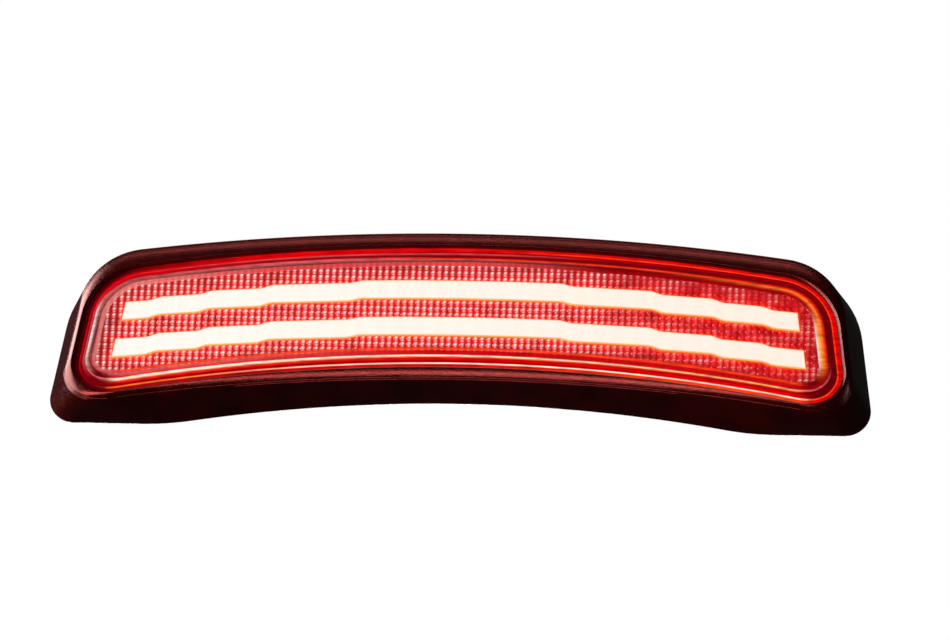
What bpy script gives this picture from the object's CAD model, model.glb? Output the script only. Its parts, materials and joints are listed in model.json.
import json
import math

import bpy
from mathutils import Matrix, Vector, noise


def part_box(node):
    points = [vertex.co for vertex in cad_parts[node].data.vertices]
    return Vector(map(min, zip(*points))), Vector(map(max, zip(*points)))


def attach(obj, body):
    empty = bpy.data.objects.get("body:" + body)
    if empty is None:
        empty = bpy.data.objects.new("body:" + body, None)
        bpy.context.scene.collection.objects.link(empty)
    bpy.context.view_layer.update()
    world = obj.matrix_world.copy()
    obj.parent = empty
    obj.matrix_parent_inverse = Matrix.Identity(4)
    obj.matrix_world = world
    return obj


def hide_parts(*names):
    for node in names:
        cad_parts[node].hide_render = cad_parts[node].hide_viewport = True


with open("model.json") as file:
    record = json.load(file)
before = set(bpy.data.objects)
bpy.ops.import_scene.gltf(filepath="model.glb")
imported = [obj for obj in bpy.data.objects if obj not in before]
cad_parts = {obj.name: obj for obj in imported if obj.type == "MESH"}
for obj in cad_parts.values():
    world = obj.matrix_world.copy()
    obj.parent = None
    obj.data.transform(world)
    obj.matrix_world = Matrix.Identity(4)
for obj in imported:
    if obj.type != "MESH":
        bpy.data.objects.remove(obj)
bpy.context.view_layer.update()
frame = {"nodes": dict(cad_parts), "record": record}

# Looks of the third brake light. Every length below is in millimetres, in the
# frame of the CAD model: +Z is up, X runs along the width, the lamp shines
# towards -Y, and Y = 0 is the body panel behind it.

MM = 0.001
WHITE = (1.0, 1.0, 1.0)

# ---------------------------------------------------------------- depths (Y)

LENS_FRONT_Y = -21.0
LENS_SHOULDER_Y = -20.2
LENS_INSIDE_Y = -19.2
BEZEL_FRONT_Y = -17.6
BEZEL_EDGE_Y = -15.5
FLANGE_FRONT_Y = -15.6
FLANGE_BACK_Y = -14.0
LEG_END_Y = -10.5
PILLOW_FRONT_Y = -16.0
OPTIC_BACK_Y = -13.8
BAR_FRONT_Y = -16.6
BAR_BACK_Y = -8.0
SKIRT_BACK_Y = -1.0
FLOOR_BACK_Y = -2.0

# ------------------------------------------------------- outlines (X and Z)

SIDE_LEAN = 0.14        # how far a side leans inwards for each mm of height
SIDE_Z = -15.0          # the height at which half_width is given
ARC_STEPS = 48
CORNER_STEPS = 14
STRAIGHT_STEPS = 6


def arc(x, z, radius, start, end, steps):
    """Points on an arc about (x, z), from the start angle up to, but not at, the end angle."""
    angles = [start + (end - start) * i / steps for i in range(steps)]
    return [(x + radius * math.cos(a), z + radius * math.sin(a)) for a in angles]


def run(start, end, steps):
    """Points on a straight line, without its last one."""
    return [tuple(a + (b - a) * i / steps for a, b in zip(start, end)) for i in range(steps)]


class Outline:
    """An arched outline, the same on both sides of X = 0, as in the CAD model.

    top and bottom are the heights at X = 0. The top and the bottom are arcs,
    the sides lean, and the two ends of the bottom are level feet.
    """

    def __init__(self, *sizes):
        self.sizes = sizes
        (self.top, self.top_radius, self.bottom, self.bottom_radius, self.half_width,
         self.foot, self.top_corner, self.bottom_corner, self.foot_blend) = sizes

    def inset(self, distance):
        """The outline that runs parallel to this one, inside it."""
        sideways = distance * math.hypot(1, SIDE_LEAN)
        return Outline(self.top - distance, self.top_radius - distance,
                       self.bottom + distance, self.bottom_radius + distance,
                       self.half_width - sideways, self.foot + distance,
                       self.top_corner - distance, self.bottom_corner - distance,
                       self.foot_blend - distance)

    def towards(self, other, share):
        """The outline that lies between this one and another."""
        return Outline(*[a + (b - a) * share for a, b in zip(self.sizes, other.sizes)])

    def widened(self, distance):
        """The same outline with both sides moved out by a distance."""
        return Outline(self.top, self.top_radius, self.bottom, self.bottom_radius,
                       self.half_width + distance, self.foot, self.top_corner, self.bottom_corner,
                       self.foot_blend)

    def corner_centre(self, z, radius):
        """Centre at height z of a corner that touches the leaning side."""
        slant = math.hypot(1, SIDE_LEAN)
        return self.half_width - SIDE_LEAN * (z - SIDE_Z) - radius * slant

    def top_corner_centre(self):
        """Centre of the corner that touches the leaning side and the top arc."""
        middle = self.top - self.top_radius
        reach = self.corner_centre(0, self.top_corner)
        distance = self.top_radius - self.top_corner
        slope = 1 + SIDE_LEAN ** 2
        half = SIDE_LEAN * reach + middle
        rest = reach ** 2 + middle ** 2 - distance ** 2
        z = (half + math.sqrt(half ** 2 - slope * rest)) / slope
        return reach - SIDE_LEAN * z, z

    def half(self):
        """Points (x, z) from the middle of the top to the middle of the bottom."""
        up = math.pi / 2
        side_angle = math.atan(SIDE_LEAN)
        top_middle = self.top - self.top_radius
        arch_middle = self.bottom - self.bottom_radius
        x_top, z_top = self.top_corner_centre()
        z_low = self.foot + self.bottom_corner
        x_low = self.corner_centre(z_low, self.bottom_corner)
        z_blend = self.foot + self.foot_blend
        rise = z_blend - arch_middle
        x_blend = math.sqrt((self.bottom_radius + self.foot_blend) ** 2 - rise ** 2)
        top_angle = math.atan2(z_top - top_middle, x_top)
        arch_angle = math.atan2(rise, x_blend)
        side_top = (x_top + self.top_corner * math.cos(side_angle),
                    z_top + self.top_corner * math.sin(side_angle))
        side_low = (x_low + self.bottom_corner * math.cos(side_angle),
                    z_low + self.bottom_corner * math.sin(side_angle))
        return (arc(0, top_middle, self.top_radius, up, top_angle, ARC_STEPS)
                + arc(x_top, z_top, self.top_corner, top_angle, side_angle, CORNER_STEPS)
                + run(side_top, side_low, STRAIGHT_STEPS)
                + arc(x_low, z_low, self.bottom_corner, side_angle, -up, CORNER_STEPS)
                + run((x_low, self.foot), (x_blend, self.foot), STRAIGHT_STEPS)
                + arc(x_blend, z_blend, self.foot_blend, -up, arch_angle - math.pi, STRAIGHT_STEPS)
                + arc(0, arch_middle, self.bottom_radius, arch_angle, up, ARC_STEPS)
                + [(0.0, self.bottom)])

    def ring(self, y):
        """The whole outline as points in space at one depth."""
        right = self.half()
        left = [(-x, z) for x, z in reversed(right[1:-1])]
        return [Vector((x, y, z)) for x, z in right + left]

    def clamped(self, x, z):
        """(x, z) itself if it is inside this outline, otherwise a near point on its edge."""
        away = abs(x)
        z_low = self.foot + self.bottom_corner
        corners = (self.top_corner_centre() + (self.top_corner, 1),
                   (self.corner_centre(z_low, self.bottom_corner), z_low, self.bottom_corner, -1))
        for x_corner, z_corner, radius, side in corners:
            reach = math.hypot(away - x_corner, z - z_corner)
            if away > x_corner and (z - z_corner) * side > 0:
                pull = min(1.0, radius / reach)
                return (math.copysign(x_corner + (away - x_corner) * pull, x),
                        z_corner + (z - z_corner) * pull)
        top = self.top - self.top_radius + math.sqrt(self.top_radius ** 2 - x ** 2)
        arch = self.bottom - self.bottom_radius + math.sqrt(self.bottom_radius ** 2 - x ** 2)
        z = min(top, max(arch, self.foot, z))
        side = self.half_width - SIDE_LEAN * (z - SIDE_Z)
        return math.copysign(min(away, side), x), z


BASE = Outline(38.9, 870, -29.0, 580, 153.3, -39.5, 35, 10, 110)
LIP = Outline(35.7, 870, -25.75, 800, 147.4, -36.8, 26, 12, 20)
OPENING = Outline(29.3, 740, -20.8, 675, 143.9, -33.4, 25, 12, 20)
LENS_FOOT = Outline(28.1, 739, -18.8, 677, 142.05, -31.4, 23, 10, 18)
LENS_SHOULDER = Outline(23.5, 735, -17.8, 680, 139.55, -29.9, 20, 8.5, 18)
LENS_FACE = Outline(21.75, 733, -15.25, 682, 137.35, -27.3, 18, 7, 18)
OPTIC = OPENING.inset(5.6)

# ---------------------------------------------------------------- light bars

BAR_HEIGHT = 7.4
BAR_ARCH_RADIUS = 710.0
BAR_STEP_X = [40.0, 74.0, 97.0, 116.0]
BAR_STEP_RUN = 4.0
BAR_TREAD = 0.55
BAR_SLOT_GAP = 0.15
BARS = {"upper": (11.6, 127.5), "lower": (-3.7, 130.3)}     # height, half length
LONGEST_BAR = max(half_length for _, half_length in BARS.values())

PILLOW_PITCH = 2.5
PILLOW_RISE = 0.5
PILLOW_CUTS = 6         # quads across one pillow
FROST_WIDTH = 1.9


def sag(x):
    """Drop of the light bars' arch at a distance x from the middle."""
    return BAR_ARCH_RADIUS - math.sqrt(BAR_ARCH_RADIUS ** 2 - x ** 2)


def stair_points():
    """Points (x, drop) of half a staircase, from the middle to the end."""
    ends = [0] + BAR_STEP_X + [LONGEST_BAR]
    points = [(0, 0)]
    for start, end in zip(ends, ends[1:]):
        middle = (start + end) / 2 if start else 0
        first = start + BAR_STEP_RUN / 2 if start else BAR_STEP_X[0] / 2
        last = end - BAR_STEP_RUN / 2 if end != LONGEST_BAR else end
        for x in (first, last):
            points.append((x, sag(middle) + BAR_TREAD * (sag(x) - sag(middle))))
    return points


STAIR = stair_points()


def stair_drop(x):
    """Drop of the staircase at x, level beyond its ends."""
    distance = abs(x)
    for (x0, drop0), (x1, drop1) in zip(STAIR, STAIR[1:]):
        if distance <= x1:
            return drop0 + (drop1 - drop0) * (distance - x0) / (x1 - x0)
    return STAIR[-1][1]


# ---------------------------------------------------------------- mesh tools

ROUND_STEPS = 5
TINY = 1e-6


def approach(start, end, distance):
    """The point a distance from start on the way to end, at most half way."""
    way = end - start
    return start + way * min(0.5, distance / max(way.length, TINY))


def rounded_rings(sections, closed=False):
    """Rings through (outline, y, radius) sections, with every edge rounded by its radius."""
    corners = [outline.ring(y) for outline, y, _ in sections]
    rings = []
    for i, (_, _, radius) in enumerate(sections):
        at_end = not closed and i in (0, len(sections) - 1)
        if radius == 0 or at_end:
            rings.append(corners[i])
            continue
        after = corners[(i + 1) % len(corners)]
        for step in range(ROUND_STEPS + 1):
            t = step / ROUND_STEPS
            ring = []
            for p, q, r in zip(corners[i - 1], corners[i], after):
                start = approach(q, p, radius)
                end = approach(q, r, radius)
                ring.append(start.lerp(q, t).lerp(q.lerp(end, t), t))
            rings.append(ring)
    return rings


def loft(rings, closed=False):
    """Vertices and quads of the skin through equal rings."""
    count = len(rings[0])
    vertices = [point for ring in rings for point in ring]
    bands = len(rings) if closed else len(rings) - 1
    faces = []
    for band in range(bands):
        near = band * count
        far = (band + 1) % len(rings) * count
        for i in range(count):
            j = (i + 1) % count
            faces.append((near + i, near + j, far + j, far + i))
    return vertices, faces


def joined(*meshes):
    """One list of vertices and one of faces from several (vertices, faces) pairs."""
    vertices = []
    faces = []
    for more_vertices, more_faces in meshes:
        offset = len(vertices)
        vertices += more_vertices
        faces += [tuple(offset + i for i in face) for face in more_faces]
    return vertices, faces


def block(x, y, z, size):
    """A box with its low corner at (x, y, z)."""
    corners = [Vector((x + i * size[0], y + j * size[1], z + k * size[2]))
               for i in (0, 1) for j in (0, 1) for k in (0, 1)]
    faces = [(0, 1, 3, 2), (4, 6, 7, 5), (0, 4, 5, 1), (2, 3, 7, 6), (0, 2, 6, 4), (1, 5, 7, 3)]
    return corners, faces


def make_piece(name, mesh_data, material, replaced, sharp_angle=35):
    """A smooth-shaded piece in place of CAD nodes, from (vertices, faces) in millimetres."""
    vertices, faces = mesh_data
    mesh = bpy.data.meshes.new(name)
    mesh.from_pydata([point * MM for point in vertices], [], faces)
    mesh.validate()
    mesh.polygons.foreach_set("use_smooth", [True] * len(mesh.polygons))
    mesh.set_sharp_from_angle(angle=math.radians(sharp_angle))
    mesh.materials.append(material)
    piece = bpy.data.objects.new(name, mesh)
    bpy.context.scene.collection.objects.link(piece)
    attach(piece, "root")
    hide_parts(*replaced)
    return piece


def outward(mesh_data):
    """The same mesh with its faces turned to face outwards."""
    vertices, faces = mesh_data
    volume = 0.0
    for face in faces:
        for i in range(1, len(face) - 1):
            a, b, c = (vertices[face[k]] for k in (0, i, i + 1))
            volume += a.dot(b.cross(c))
    if volume < 0:
        faces = [tuple(reversed(face)) for face in faces]
    return vertices, faces


def paint(piece, colours):
    """Store one RGBA colour for each vertex as the attribute "glow"."""
    layer = piece.data.color_attributes.new("glow", "FLOAT_COLOR", "POINT")
    layer.data.foreach_set("color", [value for colour in colours for value in colour])


# ------------------------------------------------------------- glow colours

# The fourth number says how solid the lens is there.
CLEAR = (0.0, 0.0, 0.0, 0.0)
SHEER_RED = (0.50, 0.005, 0.008, 0.30)
SHEER_ROSE = (0.62, 0.16, 0.15, 0.45)
BLACK = (0.0, 0.0, 0.0, 1.0)
SHADE = (0.03, 0.0, 0.002, 1.0)
MAROON = (0.12, 0.0, 0.003, 1.0)
DEEP_RED = (0.32, 0.0, 0.003, 1.0)
RED = (0.68, 0.001, 0.002, 1.0)
ROSE = (0.55, 0.09, 0.10, 1.0)
PINK = (0.78, 0.30, 0.29, 1.0)
ORANGE_RED = (1.0, 0.05, 0.006, 1.0)
ORANGE = (1.0, 0.20, 0.02, 1.0)
GOLD = (1.0, 0.50, 0.14, 1.0)
CREAM = (1.0, 0.86, 0.66, 1.0)
PALE = (0.95, 0.80, 0.76, 1.0)
WARM_WHITE = (1.0, 1.05, 1.03, 1.0)
WARMER_WHITE = (1.0, 0.96, 0.87, 1.0)
DOT_WHITE = (1.5, 1.52, 1.44, 1.0)
DIM_GROUND = (0.36, 0.018, 0.026, 1.0)
BRIGHT_GROUND = (0.90, 0.003, 0.003, 1.0)

# Where the lens's rim glows: each row is a line around the lens, with one colour
# for each station. A station is a place on a ring, counted in ring points.
TO_RIGHT = ARC_STEPS + CORNER_STEPS + STRAIGHT_STEPS // 2
TO_BOTTOM = 2 * ARC_STEPS + 2 * CORNER_STEPS + 3 * STRAIGHT_STEPS
RIGHT_HALF = (
    0,                                              # top
    ARC_STEPS // 2,                                 # half way along the top
    ARC_STEPS + CORNER_STEPS // 2,                  # upper corner
    TO_RIGHT,                                       # side
    TO_RIGHT + STRAIGHT_STEPS // 2 + CORNER_STEPS * 3 // 4,     # lower corner
    TO_BOTTOM - ARC_STEPS + 4,                      # outer end of the arch
    TO_BOTTOM,                                      # bottom
)
RING_POINTS = 2 * TO_BOTTOM
STATIONS = RIGHT_HALF + tuple(RING_POINTS - place for place in reversed(RIGHT_HALF[:-1]))


def rim(top, top_half, corner, side, low_corner, low_run, bottom,
        left_low_run, left_low_corner, left_side, left_corner, left_top_half):
    """Colours of one rim line at all the stations, round to the top again."""
    return (top, top_half, corner, side, low_corner, low_run, bottom,
            left_low_run, left_low_corner, left_side, left_corner, left_top_half, top)


SEE_THROUGH = rim(*[CLEAR] * 12)
NO_GLOW = rim(*[BLACK] * 12)
FACE_INSIDE = rim(CLEAR, CLEAR, CLEAR, PALE, CLEAR, CLEAR, CLEAR,
                  CLEAR, CLEAR, SHEER_ROSE, CLEAR, CLEAR)
FACE_EDGE = rim(CLEAR, CLEAR, SHEER_RED, GOLD, CLEAR, CLEAR, CLEAR,
                CLEAR, SHEER_ROSE, SHEER_ROSE, SHEER_ROSE, CLEAR)
FACE_LINE = rim(SHEER_ROSE, SHEER_RED, ORANGE, ORANGE, MAROON, ORANGE_RED, ORANGE_RED,
                ORANGE_RED, ROSE, SHADE, SHEER_ROSE, SHEER_ROSE)
BEVEL_INNER = rim(ORANGE_RED, ORANGE_RED, ORANGE_RED, ORANGE_RED, MAROON, SHEER_RED, SHEER_RED,
                  SHEER_ROSE, MAROON, SHADE, ROSE, ROSE)
BEVEL_OUTER = rim(DEEP_RED, DEEP_RED, DEEP_RED, MAROON, DEEP_RED, SHEER_RED, SHEER_RED,
                  RED, SHADE, PALE, DEEP_RED, ROSE)
SHOULDER_LINE = rim(MAROON, MAROON, DEEP_RED, MAROON, ROSE, GOLD, CREAM,
                    CREAM, ROSE, DEEP_RED, DEEP_RED, DEEP_RED)
SIDE_START = rim(MAROON, MAROON, MAROON, MAROON, MAROON, ORANGE_RED, ORANGE,
                 CREAM, MAROON, MAROON, RED, DEEP_RED)
SIDE_INNER = rim(DEEP_RED, MAROON, MAROON, MAROON, MAROON, DEEP_RED, RED,
                 ORANGE_RED, MAROON, ROSE, RED, MAROON)
SIDE_MIDDLE = rim(ROSE, DEEP_RED, DEEP_RED, MAROON, MAROON, RED, RED,
                  RED, MAROON, MAROON, RED, ROSE)
SIDE_OUTER = rim(DEEP_RED, DEEP_RED, MAROON, MAROON, MAROON, RED, DEEP_RED,
                 DEEP_RED, MAROON, MAROON, DEEP_RED, RED)
FOOT_LINE = rim(RED, ORANGE_RED, ORANGE_RED, ORANGE_RED, ORANGE_RED, CREAM, CREAM,
                ORANGE, MAROON, RED, MAROON, RED)
FLANGE = rim(RED, RED, RED, RED, RED, ORANGE_RED, RED,
             DEEP_RED, SHADE, SHADE, SHADE, RED)
FROST = rim(ROSE, MAROON, MAROON, DEEP_RED, MAROON, DEEP_RED, DEEP_RED,
            ROSE, ROSE, PINK, PINK, ROSE)


def mixed(a, b, share):
    """The colour that lies a share of the way from a to b."""
    return tuple(p + (q - p) * share for p, q in zip(a, b))


def rim_colour(colours, place):
    """The colour of a rim line at a place on its ring, between the two nearest stations."""
    ends = STATIONS + (RING_POINTS,)
    for i, (start, end) in enumerate(zip(ends, ends[1:])):
        if place <= end:
            share = (place - start) / (end - start)
            return mixed(colours[i], colours[i + 1], share * share * (3 - 2 * share))
    return colours[0]


# ------------------------------------------------------------------- pieces

def bezel(material):
    """Trim with a crowned, creased lip, a flared skirt and snap hooks inside it."""
    chamfer = 0.7                       # at the inner edge, all round
    side_chamfer = 0.6                  # how much wider it is at the sides
    crown = 0.26                        # height of the crown over a flat lip
    crown_steps = 26
    creases = {3: 0.10, 7: 0.08}        # step of the crown, and depth
    skin = 2.2
    ledge = 1.5                         # width of the ledge that holds the lens's flange down
    front_rim = OPENING.inset(-chamfer).widened(side_chamfer)
    lip = []
    for step in range(1, crown_steps):
        share = step / crown_steps
        y = BEZEL_EDGE_Y + (BEZEL_FRONT_Y - BEZEL_EDGE_Y) * share - 4 * crown * share * (1 - share)
        lip.append((LIP.towards(front_rim, share), y + creases.get(step, 0.0), 0.0))
    sections = [
        (BASE, SKIRT_BACK_Y, 0.3),
        (LIP, BEZEL_EDGE_Y, 0.5),
        *lip,
        (front_rim, BEZEL_FRONT_Y, 0.15),
        (OPENING, BEZEL_FRONT_Y + chamfer, 0.2),
        (OPENING, FLANGE_FRONT_Y, 0.0),
        (OPENING.inset(-ledge), FLANGE_FRONT_Y, 0.0),
        (BASE.inset(skin), SKIRT_BACK_Y, 0.2),
    ]
    shell = outward(loft(rounded_rings(sections, closed=True), closed=True))
    return make_piece("bezel_shell", joined(shell, *bezel_hooks(skin)), material,
                      ["bezel"])


def bezel_hooks(skin):
    """Eight hooks that hold the housing's edge."""
    width = 10.0
    height = 2.9
    gap = 0.1               # between a hook and the housing's edge
    bite = 0.6              # depth in the skin from which the margin is taken
    margin = 0.9            # keeps the level hooks within the arched skin
    front_y = FLOOR_BACK_Y + gap
    inside = BASE.inset(skin - bite)
    size = (width, SKIRT_BACK_Y - front_y, height)
    hooks = []
    for x in (-110, -40, 40, 110):
        top = inside.top - inside.top_radius + math.sqrt(inside.top_radius ** 2 - x ** 2)
        arch = inside.bottom - inside.bottom_radius + math.sqrt(inside.bottom_radius ** 2 - x ** 2)
        bottom = max(arch, inside.foot)
        hooks.append(block(x - width / 2, front_y, top - margin - height, size))
        hooks.append(block(x - width / 2, front_y, bottom + margin, size))
    return hooks


def lens_rows():
    """The lens's rings as (outline, y, glow colours), from the middle of the face outwards."""
    side_rise = FLANGE_FRONT_Y - LENS_SHOULDER_Y
    face = [                # inset from the face's edge, depth, glow
        (6.0, 0.0, SEE_THROUGH),
        (2.3, 0.0, SEE_THROUGH),
        (1.9, 0.0, FACE_INSIDE),
        (1.2, 0.0, FACE_EDGE),
        (0.1, 0.02, FACE_LINE),
        (-0.15, 0.1, FACE_LINE),
    ]
    bevel = [               # share of the way to the shoulder, y, glow
        (0.3, LENS_FRONT_Y + 0.3, BEVEL_INNER),
        (0.8, LENS_SHOULDER_Y - 0.13, BEVEL_OUTER),
        (0.94, LENS_SHOULDER_Y - 0.02, SHOULDER_LINE),
    ]
    side = [                # share of the way down the side wall, glow
        (0.03, SHOULDER_LINE),
        (0.11, SIDE_START),
        (0.28, SIDE_INNER),
        (0.55, SIDE_MIDDLE),
        (0.66, SIDE_OUTER),
        (0.86, SIDE_OUTER),
        (0.95, FOOT_LINE),
    ]
    flange = OPENING.inset(-1.3)
    leg_outside = OPENING.inset(1.0)
    leg_inside = OPENING.inset(2.6)
    rows = [(LENS_FACE.inset(inset), LENS_FRONT_Y + depth, glow) for inset, depth, glow in face]
    rows += [(LENS_FACE.towards(LENS_SHOULDER, share), y, glow) for share, y, glow in bevel]
    rows += [(LENS_SHOULDER.towards(LENS_FOOT, share), LENS_SHOULDER_Y + share * side_rise, glow)
             for share, glow in side]
    return rows + [
        (LENS_FOOT.inset(-0.05), FLANGE_FRONT_Y, FOOT_LINE),
        (LENS_FOOT.inset(-0.4), FLANGE_FRONT_Y, FLANGE),
        (flange, FLANGE_FRONT_Y, FLANGE),
        (flange, FLANGE_BACK_Y, NO_GLOW),
        (leg_outside, FLANGE_BACK_Y, NO_GLOW),
        (leg_outside, LEG_END_Y, NO_GLOW),
        (leg_inside, LEG_END_Y, NO_GLOW),
        (leg_inside, FLANGE_BACK_Y - 0.2, SEE_THROUGH),
        (LENS_FOOT.inset(1.8), FLANGE_BACK_Y - 0.4, SEE_THROUGH),
        (LENS_FACE.inset(1.4), LENS_INSIDE_Y, SEE_THROUGH),
    ]


def outer_lens(material):
    """Red cover: a clear face, a glowing rim, a flange and a sealing leg."""
    rows = lens_rows()
    rings = [outline.ring(y) for outline, y, _ in rows]
    vertices, faces = loft(rings)
    faces.append(tuple(reversed(range(RING_POINTS))))
    faces.append(tuple(range(len(vertices) - RING_POINTS, len(vertices))))
    piece = make_piece("lens_cover", outward((vertices, faces)), material,
                       ["outer_lens"], sharp_angle=28)
    paint(piece, [rim_colour(glow, place) for _, _, glow in rows for place in range(RING_POINTS)])
    return piece


def light_bar(name, material):
    """Diffusing bar that follows the staircase; its front edges glow orange."""
    z, half_length = BARS[name]
    half_height = BAR_HEIGHT / 2
    fringe = [0.0, 0.12, 0.4, 0.8]      # distances from the edge where the colour changes
    pitch = 1.5
    inner = half_length - fringe[-1]
    steps = round(2 * inner / pitch)
    places = [-half_length + d for d in fringe[:-1]]
    places += [-inner + 2 * inner * i / steps for i in range(steps + 1)]
    places += [half_length - d for d in reversed(fringe[:-1])]
    rises = [half_height - d for d in fringe] + [fringe[-1] - half_height]
    rises += [d - half_height for d in reversed(fringe[:-1])]
    section = [(BAR_BACK_Y, half_height)]
    section += [(BAR_FRONT_Y, rise) for rise in rises]
    section += [(BAR_BACK_Y, -half_height)]
    rings = []
    colours = []
    for x in places:
        drop = stair_drop(x)
        to_end = half_length - abs(x)
        for y, rise in section:
            lean = SIDE_LEAN * rise * x / half_length
            rings.append(Vector((x - lean, y, z - drop + rise)))
            distance = min(to_end, half_height - abs(rise))
            colours.append(bar_colour(x / half_length, distance))
    count = len(section)
    vertices, faces = loft([rings[i:i + count] for i in range(0, len(rings), count)])
    faces.append(tuple(reversed(range(count))))
    faces.append(tuple(range(len(vertices) - count, len(vertices))))
    piece = make_piece("glow_bar_" + name, outward((vertices, faces)), material,
                       ["light_bar_" + name])
    paint(piece, colours)
    return piece


def bar_colour(along, distance):
    """Glow of a bar's front: along runs from -1 to 1, distance is that to its edge."""
    gold_edge = 0.3
    middle = mixed(WARM_WHITE, WARMER_WHITE, (along + 1) / 2)
    return mixed(GOLD, middle, min(1.0, distance / gold_edge))


def slot_distance(x, z):
    """Distance from (x, z) to the nearer bar's slot, negative inside it."""
    best = math.inf
    for bar_z, half_length in BARS.values():
        up = abs(z - bar_z + stair_drop(x)) - BAR_HEIGHT / 2 - BAR_SLOT_GAP
        lean = SIDE_LEAN * (z - bar_z + stair_drop(x))
        along = abs(x) + lean - half_length - BAR_SLOT_GAP
        outside = math.hypot(max(up, 0), max(along, 0))
        best = min(best, outside if outside > 0 else max(up, along))
    return best


def clear_of_slots(x, z):
    """(x, z) moved up or down to the edge of the slot that it falls into, if any."""
    for bar_z, half_length in BARS.values():
        middle = bar_z - stair_drop(x)
        reach = BAR_HEIGHT / 2 + BAR_SLOT_GAP
        if abs(z - middle) < reach and abs(x) < half_length + BAR_SLOT_GAP - SIDE_LEAN * (z - middle):
            return x, middle + math.copysign(reach, z - middle)
    return x, z


def pillow_ground(x, distance, patch, flicker):
    """Colour between the bright dots, at a distance from the nearer bar's slot."""
    lit_reach = 1.8             # how far the bars' red light carries
    fringe = 0.42 + 0.25 * flicker
    dull_x = LONGEST_BAR - 3    # from here on, the right end is duller
    dull_width = 2.0
    most_dull = 0.6
    ground = mixed(DIM_GROUND, BRIGHT_GROUND, math.exp(-distance / lit_reach))
    ground = mixed(ground, MAROON, max(0.0, min(most_dull, -patch)))
    ground = mixed(ground, ORANGE, math.exp(-(distance / fringe) ** 2))
    return mixed(ground, MAROON, most_dull / (1 + math.exp((dull_x - x) / dull_width)))


def pillow_glow(x, z, across, up):
    """Colour of a pillow at (x, z), where across and up run from -1 to 1 over it.

    The pillows sparkle on the left and in the middle, and are blurred on the right.
    """
    sparkle_end_x = 56.0
    sparkle_fade = 9.0
    column_width = 0.38
    main_dot = (0.25, 0.42, 1.0)        # height on the pillow, width, brightness
    low_dot = (-0.62, 0.2, 0.45)
    blur_brightness = 0.38
    distance = max(slot_distance(x, z), 0.0)
    flicker = noise.noise(Vector((x * 1.3, 7, z * 1.3)))
    patch = noise.noise(Vector((x * 0.11, 0, z * 0.16)))
    patch += 0.5 * noise.noise(Vector((x * 0.35, 5, z * 0.4)))
    ground = pillow_ground(x, distance, patch, flicker)
    column = math.exp(-(across / column_width) ** 2)
    spot = sum(brightness * math.exp(-((up - height) / width) ** 2)
               for height, width, brightness in (main_dot, low_dot))
    sparkle = 0.85 + 0.4 * patch + 0.6 * flicker
    blur = max(0.0, 0.2 + 1.5 * patch + 0.4 * flicker)
    sparkle_share = 1 / (1 + math.exp((x - sparkle_end_x) / sparkle_fade))
    share = column * spot * (blur * blur_brightness * (1 - sparkle_share) + sparkle * sparkle_share)
    share *= 1 - 0.6 * math.exp(-(distance / 0.5) ** 2)
    return mixed(ground, DOT_WHITE, max(0.0, min(1.0, share)))


def pillow_sheet():
    """The field of square pillows, cut to the frosted border and to the bars' slots."""
    field = OPTIC.inset(FROST_WIDTH)
    smallest_quad = 0.004       # square millimetres; quads pressed flatter than this are left out
    across = int(OPTIC.half_width / PILLOW_PITCH) + 2
    rows = int(max(OPTIC.top, -OPTIC.foot) / PILLOW_PITCH) + 2
    vertices = []
    faces = []
    colours = []
    index = {}

    def corner(column, row):
        """Index of the vertex at a place on the fine grid, made on first use."""
        if (column, row) not in index:
            u = 2 * (column % PILLOW_CUTS) / PILLOW_CUTS - 1
            v = 2 * (row % PILLOW_CUTS) / PILLOW_CUTS - 1
            x = column / PILLOW_CUTS * PILLOW_PITCH
            z = row / PILLOW_CUTS * PILLOW_PITCH
            y = PILLOW_FRONT_Y + PILLOW_RISE * (1 - (1 - u * u) * (1 - v * v))
            x, z = clear_of_slots(*field.clamped(x, z))
            colours.append(pillow_glow(x, z, u, v))
            index[column, row] = len(vertices)
            vertices.append(Vector((x, y, z)))
        return index[column, row]

    for column in range(-across * PILLOW_CUTS, across * PILLOW_CUTS):
        for row in range(-rows * PILLOW_CUTS, rows * PILLOW_CUTS):
            quad = [corner(column + i, row + j) for i, j in ((0, 0), (1, 0), (1, 1), (0, 1))]
            if flat_area([vertices[i] for i in quad]) > smallest_quad:
                faces.append(tuple(quad))
    return vertices, faces, colours


def flat_area(points):
    """Area of a quad as seen from the front."""
    a, b, c, d = points
    return abs((c.x - a.x) * (d.z - b.z) - (c.z - a.z) * (d.x - b.x)) / 2


def walls_to(y, faces, vertices):
    """Quads from the free edges of a sheet to a depth, and their new vertices."""
    seen = {}
    for face in faces:
        for a, b in zip(face, face[1:] + face[:1]):
            key = (min(a, b), max(a, b))
            seen[key] = None if key in seen else (a, b)
    free = [edge for edge in seen.values() if edge]
    low = {}
    for edge in free:
        for i in edge:
            low.setdefault(i, len(vertices) + len(low))
    points = [Vector((vertices[i].x, y, vertices[i].z)) for i in low]
    return points, [(b, a, low[a], low[b]) for a, b in free], list(low)


def frost_bead():
    """Rounded, frosted border of the pillow plate, down to its back."""
    inner_edge = OPTIC.inset(FROST_WIDTH)
    crest = OPTIC.inset(FROST_WIDTH * 0.5)
    root_y = PILLOW_FRONT_Y + PILLOW_RISE + 0.1
    shoulder_y = PILLOW_FRONT_Y + 0.2
    return rounded_rings([
        (inner_edge, root_y, 0.0),
        (inner_edge, shoulder_y, 0.2),
        (crest, PILLOW_FRONT_Y, 0.6),
        (OPTIC, shoulder_y, 0.3),
        (OPTIC, OPTIC_BACK_Y, 0.0),
    ])


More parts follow.
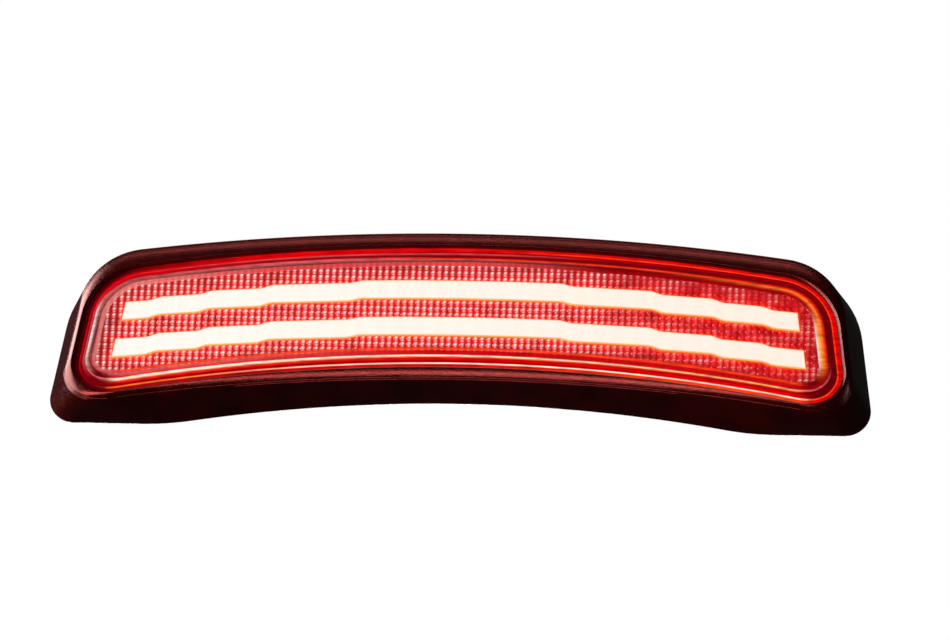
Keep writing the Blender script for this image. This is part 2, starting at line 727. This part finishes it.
def pillow_optic(material):
    """Pillow plate: its field of pillows with slots in it, and its frosted border."""
    vertices, faces, colours = pillow_sheet()
    wall_points, walls, above = walls_to(OPTIC_BACK_Y, faces, vertices)
    colours += [colours[i] for i in above]
    rings = frost_bead()
    for ring in rings:
        colours += [rim_colour(FROST, place) for place in range(len(ring))]
    plate = joined((vertices + wall_points, faces + walls), loft(rings))
    piece = make_piece("pillow_plate", plate, material, ["pillow_optic"], sharp_angle=60)
    paint(piece, colours)
    return piece


STUD_RADIUS = 2.5
THREAD_START_Y = 1.5


def circle(centre_x, y, radii):
    """A ring of points about an axis along Y, one for each radius."""
    angles = [math.tau * i / len(radii) for i in range(len(radii))]
    return [Vector((centre_x + r * math.cos(a), y, r * math.sin(a))) for r, a in zip(radii, angles)]


def thread_radii(y, end_y, sides):
    """Radii round an M5 thread at y, which runs in softly and ends in a chamfer."""
    pitch = 0.8
    depth = 0.42
    tip_chamfer = 0.7
    taper = max(0.0, y - (end_y - tip_chamfer))
    ease = min(1.0, (y - THREAD_START_Y) / pitch)
    grooves = [abs(2 * ((y / pitch - i / sides) % 1.0) - 1) * depth * ease for i in range(sides)]
    return [STUD_RADIUS - max(groove, taper) for groove in grooves]


def threaded_studs(material):
    """Both mounting studs, with a real helical M5 thread."""
    sides = 28
    step = 0.1                      # between the rings of the thread
    head_radius = 5.0
    head_height = 1.6
    neck_radius = 3.2
    neck_end_y = -0.4
    lo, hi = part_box("mounting_studs")
    start_y = lo.y / MM
    end_y = hi.y / MM
    stud_x = (hi.x - lo.x) / 2 / MM - head_radius
    count = int((end_y - THREAD_START_Y) / step)
    profile = [(start_y, head_radius), (start_y + head_height, head_radius),
               (start_y + head_height, neck_radius), (neck_end_y, neck_radius), (neck_end_y, STUD_RADIUS)]
    studs = []
    for centre_x in (-stud_x, stud_x):
        rings = [circle(centre_x, y, [radius] * sides) for y, radius in profile]
        for row in range(count + 1):
            y = THREAD_START_Y + row * step
            rings.append(circle(centre_x, min(y, end_y), thread_radii(y, end_y, sides)))
        vertices, faces = loft(rings)
        faces.append(tuple(reversed(range(sides))))
        faces.append(tuple(range(len(vertices) - sides, len(vertices))))
        studs.append(outward((vertices, faces)))
    return make_piece("threaded_studs", joined(*studs), material, ["mounting_studs"])


# ---------------------------------------------------------------- materials

class Material:
    """A node material with one Principled shader, and short ways to add nodes to it."""

    def __init__(self, name, **values):
        self.material = bpy.data.materials.new(name)
        self.material.use_nodes = True
        self.tree = self.material.node_tree
        self.shader = self.tree.nodes["Principled BSDF"]
        self.output = self.tree.nodes["Material Output"]
        for socket, value in values.items():
            self.set(socket.replace("_", " "), value)

    def set(self, socket, value):
        """Set one of the shader's own sockets; a colour gets its alpha."""
        if isinstance(value, tuple):
            value = value + (1.0,) if len(value) == 3 else value
        self.shader.inputs[socket].default_value = value

    def add(self, kind, **inputs):
        node = self.tree.nodes.new(kind)
        for socket, value in inputs.items():
            node.inputs[socket.replace("_", " ")].default_value = value
        return node

    def link(self, source, target):
        self.tree.links.new(source, target)

    def place(self, stretch=WHITE):
        """Object coordinates, stretched along each axis."""
        coordinates = self.add("ShaderNodeTexCoord")
        mapping = self.add("ShaderNodeMapping")
        mapping.inputs["Scale"].default_value = stretch
        self.link(coordinates.outputs["Object"], mapping.inputs["Vector"])
        return mapping.outputs["Vector"]

    def noise(self, size, detail=3.0, stretch=WHITE):
        """Noise whose blotches are about size millimetres across."""
        texture = self.add("ShaderNodeTexNoise", Scale=1 / (size * MM), Detail=detail)
        self.link(self.place(stretch), texture.inputs["Vector"])
        return texture.outputs["Fac"]

    def waves(self, pitch):
        """Upright waves along X, pitch millimetres apart, lowest at X = 0."""
        texture = self.add("ShaderNodeTexWave", Scale=math.tau / (20 * pitch * MM))
        self.link(self.place(), texture.inputs["Vector"])
        return texture.outputs["Fac"]

    def product(self, a, b):
        node = self.add("ShaderNodeMath")
        node.operation = "MULTIPLY"
        self.link(a, node.inputs[0])
        self.link(b, node.inputs[1])
        return node.outputs["Value"]

    def ramp(self, source, stops):
        """A colour ramp over a number; stops are (position, colour)."""
        node = self.add("ShaderNodeValToRGB")
        elements = node.color_ramp.elements
        while len(elements) < len(stops):
            elements.new(0.5)
        for element, (position, colour) in zip(elements, stops):
            element.position = position
            element.color = colour + (1.0,)
        self.link(source, node.inputs["Fac"])
        return node.outputs["Color"]

    def spread(self, source, low, high):
        """A number between low and high from one between 0.3 and 0.7."""
        node = self.add("ShaderNodeMapRange", From_Min=0.3, From_Max=0.7, To_Min=low, To_Max=high)
        self.link(source, node.inputs["Value"])
        return node.outputs["Result"]

    def bump(self, source, depth, strength=1.0):
        """A bump depth millimetres deep."""
        node = self.add("ShaderNodeBump", Strength=strength, Distance=depth * MM)
        self.link(source, node.inputs["Height"])
        self.link(node.outputs["Normal"], self.shader.inputs["Normal"])

    def tint(self, colour_output, socket="Base Color"):
        self.link(colour_output, self.shader.inputs[socket])


def moulded(name, dark, light, roughness, grain, depth, **values):
    """Moulded plastic or rubber: blotched colour, uneven gloss and a fine grain."""
    m = Material(name, **values)
    m.tint(m.ramp(m.noise(14, 5), [(0.35, dark), (0.65, light)]))
    low, high = roughness
    m.link(m.spread(m.noise(grain * 4, 4), low, high), m.shader.inputs["Roughness"])
    m.bump(m.noise(grain, 2), depth)
    return m


def bezel_plastic():
    """Dark maroon plastic with a fine grain and a rosy sheen."""
    m = moulded("bezel_plastic", (0.006, 0.0002, 0.0003), (0.013, 0.0003, 0.0004), (0.14, 0.24), 0.5, 0.06,
                Specular_IOR_Level=0.5, Specular_Tint=(1.0, 0.40, 0.38))
    return m.material


def lens_plastic():
    """Red lens: clear on its face, glowing in its rim as the "glow" attribute says."""
    m = Material("lens_plastic", Roughness=0.12, IOR=1.49, Specular_IOR_Level=0.04)
    glow = m.add("ShaderNodeVertexColor")
    glow.layer_name = "glow"
    streaks = m.noise(7, 4, stretch=(1.0, 6.0, 6.0))
    lively = m.spread(streaks, 0.6, 1.35)
    m.set("Base Color", (0.03, 0.0, 0.0005))
    m.tint(glow.outputs["Color"], "Emission Color")
    m.link(lively, m.shader.inputs["Emission Strength"])
    m.bump(streaks, 0.02, 0.3)
    clear = m.add("ShaderNodeBsdfTransparent")
    clear.inputs["Color"].default_value = (1.0, 0.86, 0.84, 1.0)
    solid = m.add("ShaderNodeMapRange", To_Min=0.03)
    m.link(glow.outputs["Alpha"], solid.inputs["Value"])
    mix = m.add("ShaderNodeMixShader")
    m.link(solid.outputs["Result"], mix.inputs[0])
    m.link(clear.outputs["BSDF"], mix.inputs[1])
    m.link(m.shader.outputs["BSDF"], mix.inputs[2])
    m.link(mix.outputs["Shader"], m.output.inputs["Surface"])
    return m.material


def pillow_plastic():
    """Red moulded optics, which glow as the "glow" attribute says."""
    m = Material("pillow_plastic", IOR=1.49, Specular_Tint=(1.0, 0.7, 0.7))
    glow = m.add("ShaderNodeVertexColor")
    glow.layer_name = "glow"
    frost = m.noise(0.5, 3)
    m.tint(m.ramp(m.noise(6, 4), [(0.35, (0.12, 0.002, 0.004)), (0.65, (0.20, 0.003, 0.006))]))
    m.tint(glow.outputs["Color"], "Emission Color")
    grain = m.spread(frost, 0.75, 1.25)
    columns = m.waves(PILLOW_PITCH)
    strength = m.product(grain, m.spread(columns, 0.85, 1.1))
    m.link(strength, m.shader.inputs["Emission Strength"])
    m.link(m.spread(frost, 0.12, 0.26), m.shader.inputs["Roughness"])
    m.bump(frost, 0.02)
    return m.material


def glow_bar():
    """Milky diffuser, lit from behind by a row of LEDs."""
    led_pitch = 7.5
    m = Material("glow_bar", Roughness=0.3, Base_Color=(0.10, 0.09, 0.08))
    glow = m.add("ShaderNodeVertexColor")
    glow.layer_name = "glow"
    m.tint(glow.outputs["Color"], "Emission Color")
    m.link(m.spread(m.waves(led_pitch), 1.21, 1.24), m.shader.inputs["Emission Strength"])
    m.bump(m.noise(1.2, 3), 0.02)
    return m.material


def housing_plastic():
    m = moulded("housing_plastic", (0.018, 0.018, 0.020), (0.035, 0.035, 0.037), (0.45, 0.62), 0.5, 0.05)
    return m.material


def connector_plastic():
    m = moulded("connector_plastic", (0.030, 0.030, 0.033), (0.052, 0.052, 0.056), (0.32, 0.45), 0.8, 0.02)
    return m.material


def sealant():
    m = moulded("sealant", (0.012, 0.012, 0.012), (0.03, 0.03, 0.03), (0.35, 0.6), 1.5, 0.12)
    return m.material


def silicone():
    m = moulded("silicone", (0.36, 0.055, 0.025), (0.50, 0.09, 0.04), (0.42, 0.6), 1.0, 0.02,
                Subsurface_Weight=0.1, Subsurface_Scale=0.001)
    return m.material


def foam():
    """Closed-cell foam: dark cells of different sizes."""
    m = Material("foam", Roughness=0.95, Specular_IOR_Level=0.2)
    cells = m.add("ShaderNodeTexVoronoi", Scale=1 / (0.7 * MM))
    m.link(m.place(), cells.inputs["Vector"])
    m.tint(m.ramp(cells.outputs["Distance"], [(0.1, (0.006, 0.006, 0.006)), (0.6, (0.035, 0.035, 0.036))]))
    m.bump(cells.outputs["Distance"], 0.25)
    return m.material


def frame_plastic():
    m = moulded("frame_plastic", (0.50, 0.48, 0.45), (0.60, 0.58, 0.55), (0.35, 0.5), 0.6, 0.02)
    return m.material


def channel_plastic():
    m = moulded("channel_plastic", (0.66, 0.65, 0.62), (0.74, 0.73, 0.70), (0.4, 0.55), 0.7, 0.02)
    return m.material


def board(name, mask, trace, roughness):
    """Circuit board: solder mask over slightly raised tracks."""
    m = Material(name, IOR=1.5, Coat_Weight=0.3, Coat_Roughness=0.2)
    tracks = m.add("ShaderNodeTexBrick", Scale=1 / (9 * MM), Mortar_Size=0.03,
                   Brick_Width=0.9, Row_Height=0.28)
    tracks.inputs["Color1"].default_value = mask + (1.0,)
    tracks.inputs["Color2"].default_value = tuple(value * 0.9 for value in mask) + (1.0,)
    tracks.inputs["Mortar"].default_value = trace + (1.0,)
    turned = m.add("ShaderNodeMapping")
    turned.inputs["Rotation"].default_value = (math.pi / 2, 0, 0)
    m.link(m.place(), turned.inputs["Vector"])
    m.link(turned.outputs["Vector"], tracks.inputs["Vector"])
    m.tint(tracks.outputs["Color"])
    low, high = roughness
    m.link(m.spread(m.noise(3, 4), low, high), m.shader.inputs["Roughness"])
    m.bump(tracks.outputs["Fac"], 0.04)
    return m.material


def circuit_board():
    return board("circuit_board", (0.70, 0.71, 0.69), (0.60, 0.62, 0.58), (0.25, 0.4))


def green_board():
    return board("green_board", (0.010, 0.13, 0.04), (0.03, 0.24, 0.08), (0.2, 0.35))


def led_package():
    """White package with a lit, yellowish middle."""
    m = moulded("led_package", (0.75, 0.62, 0.30), (0.86, 0.78, 0.52), (0.3, 0.5), 0.6, 0.02,
                Emission_Color=(1.0, 0.86, 0.62), Emission_Strength=1.5)
    return m.material


def black_component():
    m = moulded("black_component", (0.012, 0.012, 0.013), (0.028, 0.028, 0.03), (0.45, 0.65), 0.3, 0.03)
    return m.material


def metal(name, dark, light, roughness, size, stretch, depth):
    """Plated or brushed metal with uneven tone and gloss."""
    m = Material(name, Metallic=1.0)
    brushed = m.noise(size, 4, stretch=stretch)
    m.tint(m.ramp(m.noise(4, 4), [(0.3, dark), (0.7, light)]))
    low, high = roughness
    m.link(m.spread(brushed, low, high), m.shader.inputs["Roughness"])
    m.bump(brushed, depth)
    return m.material


def can_metal():
    return metal("can_metal", (0.62, 0.63, 0.65), (0.78, 0.79, 0.80), (0.2, 0.34), 0.4, (1, 0.2, 1), 0.01)


def zinc_steel():
    return metal("zinc_steel", (0.42, 0.44, 0.48), (0.66, 0.67, 0.68), (0.22, 0.45), 0.8, (1, 1, 1), 0.02)


def tin_brass():
    return metal("tin_brass", (0.60, 0.54, 0.40), (0.76, 0.72, 0.60), (0.2, 0.35), 0.3, (1, 0.1, 1), 0.01)


def membrane():
    """Woven film over the breather."""
    m = Material("membrane", Roughness=0.9)
    weave = m.add("ShaderNodeTexVoronoi", Scale=1 / (0.15 * MM))
    m.link(m.place(), weave.inputs["Vector"])
    m.tint(m.ramp(weave.outputs["Distance"], [(0.0, (0.62, 0.62, 0.6)), (0.6, (0.8, 0.8, 0.78))]))
    m.bump(weave.outputs["Distance"], 0.03)
    return m.material


FINISHES = {
    "red_lens": lens_plastic,
    "sealant": sealant,
    "bezel_plastic": bezel_plastic,
    "housing_plastic": housing_plastic,
    "foam": foam,
    "pillow_plastic": pillow_plastic,
    "frame_plastic": frame_plastic,
    "glow_bar": glow_bar,
    "channel_plastic": channel_plastic,
    "circuit_board": circuit_board,
    "green_board": green_board,
    "led_package": led_package,
    "black_component": black_component,
    "can_metal": can_metal,
    "zinc_steel": zinc_steel,
    "tin_brass": tin_brass,
    "connector_plastic": connector_plastic,
    "silicone": silicone,
    "membrane": membrane,
}


def finish_cad_nodes(materials):
    """Give every CAD node the material of its slot in the record."""
    for part in frame["record"]["subparts"]:
        node = frame["nodes"][part["node"]]
        node.data.materials.clear()
        node.data.materials.append(materials[part["material_slot"]])


# ------------------------------------------------------ camera, light, floor

CAMERA_DISTANCE = 3.0           # metres
CAMERA_BELOW = 25.637           # degrees below the lamp's middle
CAMERA_RIGHT = 5.251            # degrees to the lamp's +X side
CAMERA_ROLL = 3.229             # degrees
CAMERA_LENS = 300.5             # millimetres
CAMERA_AIM = (4.546, 6.185)     # what the view is centred on, right of and above the origin


def add_camera():
    """A long lens, looking up at the lamp from below."""
    below = math.radians(CAMERA_BELOW)
    right = math.radians(CAMERA_RIGHT)
    roll = math.radians(CAMERA_ROLL)
    across = Vector((math.cos(right), math.sin(right), 0))
    up = Vector((math.sin(right) * math.sin(below), -math.cos(right) * math.sin(below), math.cos(below)))
    forward = Vector((-math.sin(right) * math.cos(below), math.cos(right) * math.cos(below), math.sin(below)))
    image_right = across * math.cos(roll) + up * math.sin(roll)
    image_up = up * math.cos(roll) - across * math.sin(roll)
    camera = bpy.data.objects.new("camera", bpy.data.cameras.new("camera"))
    camera.data.lens = CAMERA_LENS
    camera.data.clip_start = 0.1
    camera.data.clip_end = 50.0
    turned = Matrix((image_right, image_up, -forward)).transposed().to_4x4()
    aim = image_right * CAMERA_AIM[0] * MM + image_up * CAMERA_AIM[1] * MM
    camera.matrix_world = Matrix.Translation(aim - forward * CAMERA_DISTANCE) @ turned
    bpy.context.scene.collection.objects.link(camera)
    bpy.context.scene.camera = camera


def add_softbox(name, direction, distance, width, height, power, colour=WHITE):
    """A soft area light, looking at the lamp from a direction."""
    light = bpy.data.lights.new(name, "AREA")
    light.shape = "RECTANGLE"
    light.size = width
    light.size_y = height
    light.energy = power
    light.color = colour
    softbox = bpy.data.objects.new(name, light)
    away = Vector(direction).normalized()
    softbox.location = away * distance
    softbox.rotation_euler = away.to_track_quat("Z", "Y").to_euler()
    softbox.visible_camera = False
    bpy.context.scene.collection.objects.link(softbox)


def add_lights():
    """A big softbox to the left with a small one over it, and dimmer ones on the other sides.

    Those above and in front are rosy, as if they carried the lamp's own red.
    """
    rosy = (1.0, 0.35, 0.32)
    add_softbox("softbox_left", (-0.96, -0.27, 0.16), 1.4, 1.4, 1.7, 118, (1.0, 0.93, 0.90))
    add_softbox("softbox_upper_left", (-0.72, -0.25, 0.64), 1.4, 0.6, 0.5, 9, (1.0, 0.75, 0.70))
    add_softbox("softbox_top", (-0.10, -0.42, 0.90), 1.4, 1.1, 0.12, 3.4, rosy)
    add_softbox("softbox_front", (-0.36, -0.83, -0.43), 1.8, 1.2, 0.3, 34, rosy)
    add_softbox("softbox_right", (0.85, -0.50, -0.05), 1.6, 0.12, 0.7, 3)
    add_softbox("softbox_back", (-0.10, 0.99, 0.0), 1.8, 0.8, 0.6, 75)


def add_floor_light(height):
    """Wide light just above the floor, which shines down on it alone."""
    light = bpy.data.lights.new("floor_light", "AREA")
    light.size = 30.0
    light.energy = 2800
    lamp = bpy.data.objects.new("floor_light", light)
    lamp.location = (0, 0, height)
    lamp.visible_camera = False
    bpy.context.scene.collection.objects.link(lamp)


def add_world():
    """White behind the lamp, and a dimmer, even light on it."""
    world = bpy.data.worlds.new("studio")
    world.use_nodes = True
    bpy.context.scene.world = world
    tree = world.node_tree
    background = tree.nodes["Background"]
    background.inputs["Color"].default_value = WHITE + (1.0,)
    path = tree.nodes.new("ShaderNodeLightPath")
    strength = tree.nodes.new("ShaderNodeMapRange")
    strength.inputs["To Min"].default_value = 0.025
    strength.inputs["To Max"].default_value = 1.0
    tree.links.new(path.outputs["Is Camera Ray"], strength.inputs["Value"])
    tree.links.new(strength.outputs["Result"], background.inputs["Strength"])


def add_floor():
    """Plain pale floor, well below the lamp and the camera."""
    height = -2.6           # metres, as are the next two
    reach = 40.0
    light_clearance = 0.8
    mesh = bpy.data.meshes.new("floor")
    corners = [(-reach, -reach, height), (reach, -reach, height),
               (reach, reach, height), (-reach, reach, height)]
    mesh.from_pydata(corners, [], [(0, 1, 2, 3)])
    m = Material("floor", Roughness=0.85)
    m.tint(m.ramp(m.noise(900, 3), [(0.3, (0.78, 0.78, 0.77)), (0.7, (0.82, 0.82, 0.81))]))
    mesh.materials.append(m.material)
    floor = bpy.data.objects.new("floor", mesh)
    floor.visible_glossy = False
    floor.visible_diffuse = False
    bpy.context.scene.collection.objects.link(floor)
    add_floor_light(height + light_clearance)


# --------------------------------------------------------------------- scene


def main():
    add_camera()
    add_lights()
    add_world()
    add_floor()
    bpy.context.scene.view_settings.view_transform = "Standard"
    materials = {slot: make() for slot, make in FINISHES.items()}
    finish_cad_nodes(materials)
    bezel(materials["bezel_plastic"])
    outer_lens(materials["red_lens"])
    pillow_optic(materials["pillow_plastic"])
    for name in BARS:
        light_bar(name, materials["glow_bar"])
    threaded_studs(materials["zinc_steel"])


main()
